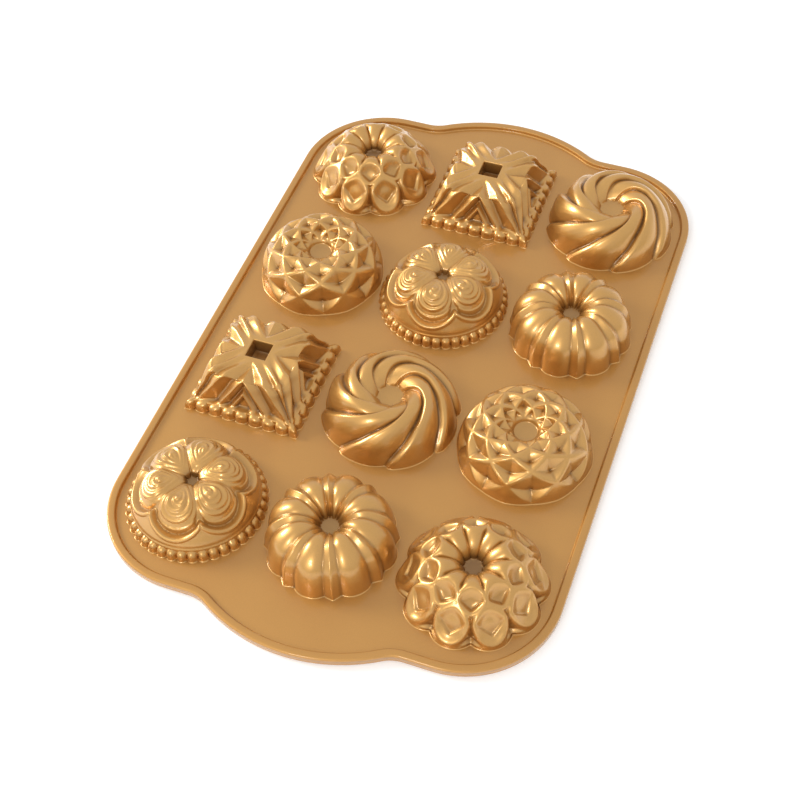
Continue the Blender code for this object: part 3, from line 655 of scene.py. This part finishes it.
def pan_outline(inset):
    """The pan's outline set in by a distance, counter-clockwise."""
    shoulder = PAN_HALF_LENGTH - GRIP_REACH
    grip_centre = PAN_HALF_LENGTH - GRIP_RADIUS
    fillet_centre = shoulder + GRIP_FILLET_RADIUS
    between = GRIP_RADIUS + GRIP_FILLET_RADIUS
    fillet_across = math.sqrt(between ** 2 - (fillet_centre - grip_centre) ** 2)
    lean = math.degrees(math.atan2(fillet_centre - grip_centre, fillet_across))
    quarter = np.concatenate((
        arc(PAN_HALF_WIDTH - CORNER_RADIUS, shoulder - CORNER_RADIUS, CORNER_RADIUS - inset, 0, 90,
            CORNER_STEPS),
        arc(fillet_across, fillet_centre, GRIP_FILLET_RADIUS + inset, -90, lean - 180, GRIP_FILLET_STEPS),
        arc(0.0, grip_centre, GRIP_RADIUS - inset, lean, 90, GRIP_STEPS)[1:]))
    side = quarter[0] * np.linspace(0, 1, SIDE_STEPS + 1)[1:-1, None] * (0, 1) + quarter[0] * (1, 0)
    half = np.concatenate((side, quarter))
    mirrored = half[::-1][1:] * (-1, 1)
    top = np.concatenate((half, mirrored))
    start = np.array([[quarter[0][0], 0.0]])
    return np.concatenate((start, top, -start, -top))


def outline_ring(inset, level):
    """The outline as a ring of points at a level."""
    flat = pan_outline(inset)
    return np.column_stack((flat, np.full(len(flat), level)))


# Section of the rim: inset and level of the wall, then inset and depth under the top of the lip's outer and
# inner side, the inner one from the inner wall
RIM_WALL = ((0.9, 0.0), (0.55, 0.1), (0.28, 0.32), (0.14, 0.6), (0.08, 1.2))
LIP_OUTER = ((0.06, 1.25), (0.0, 1.15), (0.0, 0.85), (0.06, 0.5), (0.25, 0.2), (0.55, 0.04), (0.95, 0.0))
LIP_INNER = ((0.75, 0.0), (0.45, 0.06), (0.25, 0.25))
# Fillet between rim and deck: radius, distance from the rim, rise over the deck, steps; sinks under it
INNER_RADIUS, INNER_OFF, INNER_RISE, INNER_STEPS = 0.85, 0.75, 0.8, 7
INNER_SINK, RIM_SINK = 0.3, 0.6
# Angles in degrees past which an edge is shaded sharp
MOULD_CREASE, RIM_CREASE, DECK_CREASE = 50, 35, 30


def build_rim():
    """One section carried round the outline: foot, wall, lip and the inner fillet down to the deck."""
    width = settings().rim_width / MM
    section = [(width, 0.0)] + list(RIM_WALL)
    section += [(inset, RIM_TOP - depth) for inset, depth in LIP_OUTER]
    section += [(width - off, RIM_TOP - depth) for off, depth in LIP_INNER]
    for step in range(INNER_STEPS + 1):
        angle = math.radians(180 + 90 * step / INNER_STEPS)
        section.append((width + INNER_OFF + INNER_RADIUS * math.cos(angle),
                        DECK_TOP + INNER_RISE + INNER_RADIUS * math.sin(angle)))
    section += [(width + INNER_OFF, DECK_TOP - INNER_SINK), (width, DECK_TOP - RIM_SINK), (width, 0.0)]
    item = sheet_from_rings("rim_casting", np.array([outline_ring(inset, level) for inset, level in section]))
    smooth_by_angle(item, RIM_CREASE)
    dress(item, coat_material("deck"), DECK_SLOT, "rim_lip")


def add_loop(ring):
    """Add a circle and carry its vertices onto a ring of points."""
    bpy.ops.mesh.primitive_circle_add(vertices=len(ring), radius=1.0, fill_type="NOTHING")
    loop = bpy.context.object
    loop.data.vertices.foreach_set("co", (np.asarray(ring) * MM).astype(np.float32).ravel())
    return loop


def filled_plate(rings):
    """Fill the space between an outer ring and the rings of its holes, all in one plane."""
    deselect_all()
    plate = join([add_loop(ring) for ring in rings])
    bpy.ops.object.mode_set(mode="EDIT")
    bpy.ops.mesh.select_all(action="SELECT")
    bpy.ops.mesh.fill(use_beauty=True)
    bpy.ops.object.mode_set(mode="OBJECT")
    return plate


# Rounded edge of each mouth as spread and level, spread at the deck's top, and stride along its points
MOUTH_SECTION = ((0.75, 0.0), (0.42, 0.06), (0.15, 0.25), (0.03, 0.5), (0.0, 0.85))
MOUTH_TOP_SPREAD, MOUTH_STRIDE = 1.0, 2


def build_deck():
    """The plate inside the rim, with a round-edged mouth under each mould."""
    width = settings().rim_width / MM
    top_holes, low_holes, bands = [], [], []
    for name in PATTERN_NAMES:
        mouth = mouth_ring(name)[::MOUTH_STRIDE]
        for node, centre in mould_nodes(name):
            shift = np.array((centre.x, centre.y, 0.0)) / MM
            levels = MOUTH_SECTION + ((MOUTH_TOP_SPREAD, DECK_TOP),)
            band = np.array([at_level(spread(mouth, extra), level) + shift for extra, level in levels])
            low_holes.append(band[0])
            top_holes.append(band[-1])
            bands.append(band)
    outer = np.array([outline_ring(width, 0.0), outline_ring(width, DECK_TOP)])
    parts = [filled_plate([outer[0]] + low_holes), filled_plate([outer[1]] + top_holes),
             sheet_from_rings("deck_edge", outer)]
    item = join(parts + [sheet_from_rings("deck_mouth", band) for band in bands])
    item.name = item.data.name = "deck_casting"
    weld()
    smooth_by_angle(item, DECK_CREASE)
    dress(item, coat_material("deck"), DECK_SLOT, "deck_plate")


# The sRGB curve: end and slope of its straight part, then offset, scale and power of the rest
STRAIGHT_END, STRAIGHT_SLOPE, CURVE_OFFSET, CURVE_SCALE, CURVE_POWER = 0.04045, 12.92, 0.055, 1.055, 2.4


def linear(colour):
    """Turn an sRGB hex colour into linear red, green, blue and alpha."""
    channels = [int(colour[place:place + 2], 16) / 255 for place in (1, 3, 5)]
    lit = [value / STRAIGHT_SLOPE if value <= STRAIGHT_END
           else ((value + CURVE_OFFSET) / CURVE_SCALE) ** CURVE_POWER for value in channels]
    return lit + [1.0]


def add_node(owner, kind, values=None, links=None):
    """Add a node to a material or world, with its values and the sockets that feed its inputs."""
    node = owner.node_tree.nodes.new("ShaderNode" + kind)
    for key, value in (values or {}).items():
        if isinstance(key, str) and hasattr(node, key) and key not in node.inputs:
            setattr(node, key, value)
        else:
            node.inputs[key].default_value = value
    for key, source in (links or {}).items():
        owner.node_tree.links.new(source, node.inputs[key])
    return node


def remap(owner, source, before, after=(0.0, 1.0), kind="LINEAR"):
    """Add a node that carries one range of values over to another, and return its output."""
    values = {"interpolation_type": kind, "From Min": before[0], "From Max": before[1],
              "To Min": after[0], "To Max": after[1]}
    return add_node(owner, "MapRange", values, {"Value": source}).outputs["Result"]


def fresh_material(name):
    """A material with an empty node tree."""
    material = bpy.data.materials.new(name)
    material.use_nodes = True
    material.node_tree.nodes.clear()
    return material


# Coat: size of a flake and of the clouds of tone in millimetres, the noise's usual low and high, the flakes'
# change of tone and roughness, and strength and height of the cast grain
FLAKE_SIZE, CLOUD_SIZE, NOISE_RANGE = 0.35, 28, (0.3, 0.7)
FLAKE_TONES, FLAKE_ROUGHNESS = (0.95, 1.05), 0.02
GRAIN_STRENGTH, GRAIN_HEIGHT = 0.12, 0.02
# Light that the paper adds for the camera, so that it looks white
PAPER_GLOW = 0.25


def coat_material(part):
    """Gold non-stick coat, metal flake in a binder sprayed on cast aluminium.

    The eye gets warm satin gold with soft highlights and a faint grain, browner in creases and dimples from
    painted shade.
    """
    name = "sprayed_gold_coat_" + part
    if name in bpy.data.materials:
        return bpy.data.materials[name]
    values = settings()
    if part == "mould":
        roughness, light, deep = values.mould_roughness, values.mould_light, values.mould_deep
    else:
        roughness, light, deep = values.deck_roughness, values.deck_light, values.deck_deep
    material = fresh_material(name)
    coords = add_node(material, "TexCoord").outputs["Object"]
    flake = add_node(material, "TexNoise",
                     {"Scale": 1 / (FLAKE_SIZE * MM), "Detail": 2.0, "Roughness": 0.6}, {"Vector": coords})
    cloud = add_node(material, "TexNoise",
                     {"Scale": 1 / (CLOUD_SIZE * MM), "Detail": 3.0, "Roughness": 0.5}, {"Vector": coords})
    tone = add_node(material, "Mix", {"data_type": "RGBA", "A": deep, "B": light},
                    {"Factor": cloud.outputs["Fac"]})
    shade = remap(material, flake.outputs["Fac"], NOISE_RANGE, FLAKE_TONES)
    grey = add_node(material, "CombineColor", {}, {"Red": shade, "Green": shade, "Blue": shade})
    flaked = add_node(material, "Mix",
                      {"data_type": "RGBA", "blend_type": "MULTIPLY", "Factor": 1.0},
                      {"A": tone.outputs["Result"], "B": grey.outputs["Color"]})
    # Painted shade: the attribute mixes the tone towards dark brown in creases, hollows and dimple floors
    painted_shade_amount = add_node(material, "Attribute", {"attribute_name": PAINTED_SHADE_ATTRIBUTE})
    painted_shade_weight = add_node(material, "Math", {"operation": "MULTIPLY", 1: values.painted_shading},
                        {0: painted_shade_amount.outputs["Fac"]})
    painted_shade_tone = add_node(material, "Mix", {"data_type": "RGBA", "B": values.painted_shade},
                      {"Factor": painted_shade_weight.outputs[0], "A": flaked.outputs["Result"]})
    rough = remap(material, flake.outputs["Fac"], NOISE_RANGE,
                  (roughness - FLAKE_ROUGHNESS, roughness + FLAKE_ROUGHNESS))
    bump = add_node(material, "Bump", {"Strength": GRAIN_STRENGTH, "Distance": GRAIN_HEIGHT * MM},
                    {"Height": flake.outputs["Fac"]})
    shader = add_node(material, "BsdfPrincipled",
                      {"Metallic": values.metal_share, "Coat Weight": values.clear_coat,
                       "Coat Roughness": values.coat_roughness},
                      {"Base Color": painted_shade_tone.outputs["Result"], "Roughness": rough,
                       "Normal": bump.outputs["Normal"]})
    add_node(material, "OutputMaterial", {}, {"Surface": shader.outputs["BSDF"]})
    return material


def floor_material():
    """Matt white paper, uncoated: the eye gets plain white with the pan's soft shadow on it."""
    material = fresh_material("matt_white_paper")
    paper = add_node(material, "BsdfDiffuse", {"Color": stage_settings().floor_colour})
    path = add_node(material, "LightPath")
    sharp = add_node(material, "Math", {"operation": "MAXIMUM"},
                     {0: path.outputs["Is Glossy Ray"], 1: path.outputs["Is Transmission Ray"]})
    seeing = add_node(material, "Math", {"operation": "MAXIMUM"},
                      {0: path.outputs["Is Camera Ray"], 1: sharp.outputs[0]})
    glow = add_node(material, "Emission", {"Color": (1.0, 1.0, 1.0, 1.0), "Strength": PAPER_GLOW})
    both = add_node(material, "AddShader", {}, {0: paper.outputs[0], 1: glow.outputs[0]})
    seen = add_node(material, "MixShader", {},
                    {0: seeing.outputs[0], 1: paper.outputs[0], 2: both.outputs[0]})
    add_node(material, "OutputMaterial", {}, {"Surface": seen.outputs[0]})
    return material


# The camera, solved from the photograph: angles in degrees, lens and sensor in millimetres, nearest it sees
CAMERA_TARGET = (0.97 * MM, -24.08 * MM, 2.5 * MM)
CAMERA_DISTANCE = 558.1 * MM
CAMERA_AZIMUTH = 22.649
CAMERA_ELEVATION = 51.955
CAMERA_ROLL = -3.210
CAMERA_LENS = 64.17
CAMERA_SENSOR = 36.0
CAMERA_NEAR = 10 * MM
# Lamps: distance from the pan in metres, then azimuth and elevation of each in degrees
LAMP_DISTANCE = 1.9
LEFT_LAMP = (-90.0, 27.0)
FRONT_LAMP = (-8.0, 35.0)
# Surroundings: heights between which they dim, direction of the dimmer side and how far round it reaches
DIM_HEIGHTS, DIM_DIRECTION, DIM_WIDTH = (0.4, -0.05), (0.5, -0.86, 0.0), (-0.1, 0.6)
# Paper: drop under the pan in millimetres, the backdrop's radius as a share of the floor, and its sides
PAPER_DROP, BACKDROP_SHARE, BACKDROP_SIDES = 0.05, 0.48, 96


def towards(azimuth, elevation):
    """Direction from the pan at an azimuth and an elevation in degrees."""
    azimuth, elevation = math.radians(azimuth), math.radians(elevation)
    return Vector((math.cos(elevation) * math.sin(azimuth), -math.cos(elevation) * math.cos(azimuth),
                   math.sin(elevation)))


def place_camera():
    """The camera stands where the photograph was taken from."""
    roll = math.radians(CAMERA_ROLL)
    back = towards(CAMERA_AZIMUTH, CAMERA_ELEVATION)
    right = (-back).cross(Vector((0, 0, 1))).normalized()
    up = right.cross(-back)
    rolled_right = math.cos(roll) * right + math.sin(roll) * up
    rolled_up = -math.sin(roll) * right + math.cos(roll) * up
    data = bpy.data.cameras.new("photo_camera")
    data.lens = CAMERA_LENS
    data.sensor_width = CAMERA_SENSOR
    data.clip_start = CAMERA_NEAR
    camera = bpy.data.objects.new("photo_camera", data)
    bpy.context.scene.collection.objects.link(camera)
    turn = Matrix((rolled_right, rolled_up, back)).transposed().to_4x4()
    camera.matrix_world = Matrix.Translation(Vector(CAMERA_TARGET) + back * CAMERA_DISTANCE) @ turn
    bpy.context.scene.camera = camera


def add_lamp(name, place, size, power):
    """A round soft box that faces the pan from a direction."""
    direction = towards(*place)
    data = bpy.data.lights.new(name, "AREA")
    data.shape = "DISK"
    data.size = size
    data.energy = power
    lamp = bpy.data.objects.new(name, data)
    bpy.context.scene.collection.objects.link(lamp)
    lamp.location = direction * LAMP_DISTANCE
    lamp.rotation_euler = direction.to_track_quat("Z", "Y").to_euler()


def studio_world(values):
    """Pale surroundings, dimmer low down on the side of the camera."""
    world = bpy.data.worlds.new("pale_studio")
    world.use_nodes = True
    nodes = world.node_tree.nodes
    nodes.clear()
    coords = add_node(world, "TexCoord").outputs["Generated"]
    axes = add_node(world, "SeparateXYZ", {}, {0: coords})
    low = remap(world, axes.outputs["Z"], DIM_HEIGHTS, kind="SMOOTHSTEP")
    facing = add_node(world, "VectorMath", {"operation": "DOT_PRODUCT", 1: DIM_DIRECTION},
                      {0: coords})
    front = remap(world, facing.outputs["Value"], DIM_WIDTH, kind="SMOOTHSTEP")
    both = add_node(world, "Math", {"operation": "MULTIPLY"}, {0: low, 1: front})
    level = remap(world, both.outputs[0], (0.0, 1.0), (values.surround, values.front_low))
    glow = add_node(world, "Background", {}, {"Strength": level})
    add_node(world, "OutputWorld", {}, {"Surface": glow.outputs[0]})
    return world


def build_stage():
    """White paper floor and low backdrop, pale surroundings, two soft boxes and the camera."""
    scene = bpy.context.scene
    values = stage_settings()
    scene.view_settings.view_transform = "Standard"
    paper = floor_material()
    deselect_all()
    bpy.ops.mesh.primitive_plane_add(size=values.floor_size, location=(0, 0, -PAPER_DROP * MM))
    floor = bpy.context.object
    floor.name = "paper_floor"
    floor.data.materials.append(paper)
    deselect_all()
    bpy.ops.mesh.primitive_cylinder_add(vertices=BACKDROP_SIDES, radius=BACKDROP_SHARE * values.floor_size,
                                        depth=2 * values.backdrop_height, end_fill_type="NOTHING")
    backdrop = bpy.context.object
    backdrop.name = "paper_backdrop"
    backdrop.data.materials.append(paper)
    scene.world = studio_world(values)
    add_lamp("left_box", LEFT_LAMP, values.left_size, values.left_power)
    add_lamp("front_box", FRONT_LAMP, values.front_size, values.front_power)
    place_camera()


class PanSettings(bpy.types.PropertyGroup):
    """Sizes and coat of the pan."""
    wall: bpy.props.FloatProperty(
        name="Wall", description="Thickness of each mould's wall", default=2.5 * MM, unit="LENGTH")
    floor_wall: bpy.props.FloatProperty(
        name="Dimple floor", description="Least thickness of a dimple's floor",
        default=1.0 * MM, unit="LENGTH")
    fillet: bpy.props.FloatProperty(
        name="Base fillet", description="Radius where a mould meets the deck",
        default=0.6 * MM, unit="LENGTH")
    rim_width: bpy.props.FloatProperty(
        name="Rim width", description="Width of the raised lip", default=3.3 * MM, unit="LENGTH")
    detail: bpy.props.FloatProperty(
        name="Detail", description="Spacing of the rings that carry the relief",
        default=0.27 * MM, unit="LENGTH")
    mould_light: bpy.props.FloatVectorProperty(
        name="Light mould gold", description="Lighter tone on the moulds",
        subtype="COLOR", size=4, default=linear("#D1A058"))
    mould_deep: bpy.props.FloatVectorProperty(
        name="Deep mould gold", description="Deeper tone on the moulds",
        subtype="COLOR", size=4, default=linear("#CA984F"))
    deck_light: bpy.props.FloatVectorProperty(
        name="Light deck gold", description="Lighter tone on deck and rim",
        subtype="COLOR", size=4, default=linear("#C8954D"))
    deck_deep: bpy.props.FloatVectorProperty(
        name="Deep deck gold", description="Deeper tone on deck and rim",
        subtype="COLOR", size=4, default=linear("#C18D46"))
    # Colour of the painted shade in creases, hollows and dimple floors
    painted_shade: bpy.props.FloatVectorProperty(
        name="Pooled gold", description="Tone where the coat gathers",
        subtype="COLOR", size=4, default=linear("#5E3A19"))
    # Strength of the painted shade
    painted_shading: bpy.props.FloatProperty(
        name="Pooling", description="How much darker the coat is where it gathers",
        default=0.75, subtype="FACTOR")
    mould_roughness: bpy.props.FloatProperty(
        name="Mould roughness", description="Roughness of the coat on the moulds",
        default=0.38, subtype="FACTOR")
    deck_roughness: bpy.props.FloatProperty(
        name="Deck roughness", description="Roughness of the coat on the deck",
        default=0.52, subtype="FACTOR")
    metal_share: bpy.props.FloatProperty(
        name="Metal flake", description="Share of metal flake in the coat", default=0.8, subtype="FACTOR")
    clear_coat: bpy.props.FloatProperty(
        name="Clear binder", description="Weight of the clear binder over the flake",
        default=0.9, subtype="FACTOR")
    coat_roughness: bpy.props.FloatProperty(
        name="Binder roughness", description="Roughness of the clear binder", default=0.15, subtype="FACTOR")


class StageSettings(bpy.types.PropertyGroup):
    """Floor and light of the studio."""
    floor_colour: bpy.props.FloatVectorProperty(
        name="Floor", description="Colour of the paper", subtype="COLOR", size=4, default=linear("#F0F0F0"))
    floor_size: bpy.props.FloatProperty(
        name="Floor size", description="Side of the paper", default=12.0, unit="LENGTH")
    backdrop_height: bpy.props.FloatProperty(
        name="Backdrop height", description="Height of the far paper backdrop", default=0.55, unit="LENGTH")
    surround: bpy.props.FloatProperty(
        name="Surround", description="Strength of the pale surroundings", default=1.07)
    front_low: bpy.props.FloatProperty(
        name="Front low", description="Strength low down on the camera's side", default=0.3)
    left_size: bpy.props.FloatProperty(
        name="Left box size", description="Width of the left soft box", default=0.66, unit="LENGTH")
    left_power: bpy.props.FloatProperty(
        name="Left box", description="Power of the left soft box", default=21.0, unit="POWER")
    front_size: bpy.props.FloatProperty(
        name="Front box size", description="Width of the front soft box", default=0.41, unit="LENGTH")
    front_power: bpy.props.FloatProperty(
        name="Front box", description="Power of the front soft box", default=7.4, unit="POWER")


def settings():
    """The pan's settings."""
    return bpy.context.scene.cake_pan


def stage_settings():
    """The studio's settings."""
    return bpy.context.scene.cake_pan_stage


class PAN_OT_rim(bpy.types.Operator):
    """Model the raised rim"""
    bl_idname = "cake_pan.rim"
    bl_label = "Rim"

    def execute(self, context):
        build_rim()
        return {"FINISHED"}


class PAN_OT_deck(bpy.types.Operator):
    """Model the deck with its twelve mouths"""
    bl_idname = "cake_pan.deck"
    bl_label = "Deck"

    def execute(self, context):
        build_deck()
        return {"FINISHED"}


class PAN_OT_petal(bpy.types.Operator):
    """Model the petal moulds: two staggered rows of dished cells and a ribbed crown"""
    bl_idname = "cake_pan.petal"
    bl_label = "Petal moulds"

    def execute(self, context):
        build_moulds("petal")
        return {"FINISHED"}


class PAN_OT_square(bpy.types.Operator):
    """Model the square moulds: pleats that fan out from the corners over a beaded foot"""
    bl_idname = "cake_pan.square"
    bl_label = "Square moulds"

    def execute(self, context):
        build_moulds("square")
        return {"FINISHED"}


class PAN_OT_swirl(bpy.types.Operator):
    """Model the swirl moulds: eight ribs that turn up to the dimple"""
    bl_idname = "cake_pan.swirl"
    bl_label = "Swirl moulds"

    def execute(self, context):
        build_moulds("swirl")
        return {"FINISHED"}


class PAN_OT_diamond(bpy.types.Operator):
    """Model the diamond moulds: a net of raised lines round pointed pits"""
    bl_idname = "cake_pan.diamond"
    bl_label = "Diamond moulds"

    def execute(self, context):
        build_moulds("diamond")
        return {"FINISHED"}


class PAN_OT_rosette(bpy.types.Operator):
    """Model the rosette moulds: six rolled roses over swags and a beaded foot"""
    bl_idname = "cake_pan.rosette"
    bl_label = "Rosette moulds"

    def execute(self, context):
        build_moulds("rosette")
        return {"FINISHED"}


class PAN_OT_fluted(bpy.types.Operator):
    """Model the fluted moulds: eight wide lobes with a pointed rib between each pair"""
    bl_idname = "cake_pan.fluted"
    bl_label = "Fluted moulds"

    def execute(self, context):
        build_moulds("fluted")
        return {"FINISHED"}


class PAN_OT_stage(bpy.types.Operator):
    """Set up the floor, the light and the camera"""
    bl_idname = "cake_pan.stage"
    bl_label = "Studio"

    def execute(self, context):
        build_stage()
        return {"FINISHED"}


class PAN_PT_sidebar(bpy.types.Panel):
    """Settings and steps of the pan"""
    bl_idname = "PAN_PT_sidebar"
    bl_label = "Mini Ring Cake Pan"
    bl_space_type = "VIEW_3D"
    bl_region_type = "UI"
    bl_category = "Cake Pan"

    def draw(self, context):
        for group in (context.scene.cake_pan, context.scene.cake_pan_stage):
            for key in group.__annotations__:
                self.layout.prop(group, key)
        for step in STEPS:
            self.layout.operator(step.bl_idname)


STEPS = (PAN_OT_rim, PAN_OT_deck, PAN_OT_petal, PAN_OT_square, PAN_OT_swirl, PAN_OT_diamond, PAN_OT_rosette,
         PAN_OT_fluted, PAN_OT_stage)
CLASSES = (PanSettings, StageSettings) + STEPS + (PAN_PT_sidebar,)


def register():
    """Register the classes and hang the settings on the scene."""
    for item in CLASSES:
        bpy.utils.register_class(item)
    bpy.types.Scene.cake_pan = bpy.props.PointerProperty(type=PanSettings)
    bpy.types.Scene.cake_pan_stage = bpy.props.PointerProperty(type=StageSettings)


def unregister():
    """Take the settings and the classes away again."""
    del bpy.types.Scene.cake_pan_stage
    del bpy.types.Scene.cake_pan
    for item in reversed(CLASSES):
        bpy.utils.unregister_class(item)


def main():
    """Build everything in order."""
    register()
    bpy.ops.cake_pan.rim()
    bpy.ops.cake_pan.deck()
    bpy.ops.cake_pan.petal()
    bpy.ops.cake_pan.square()
    bpy.ops.cake_pan.swirl()
    bpy.ops.cake_pan.diamond()
    bpy.ops.cake_pan.rosette()
    bpy.ops.cake_pan.fluted()
    bpy.ops.cake_pan.stage()


if __name__ == "__main__":
    main()
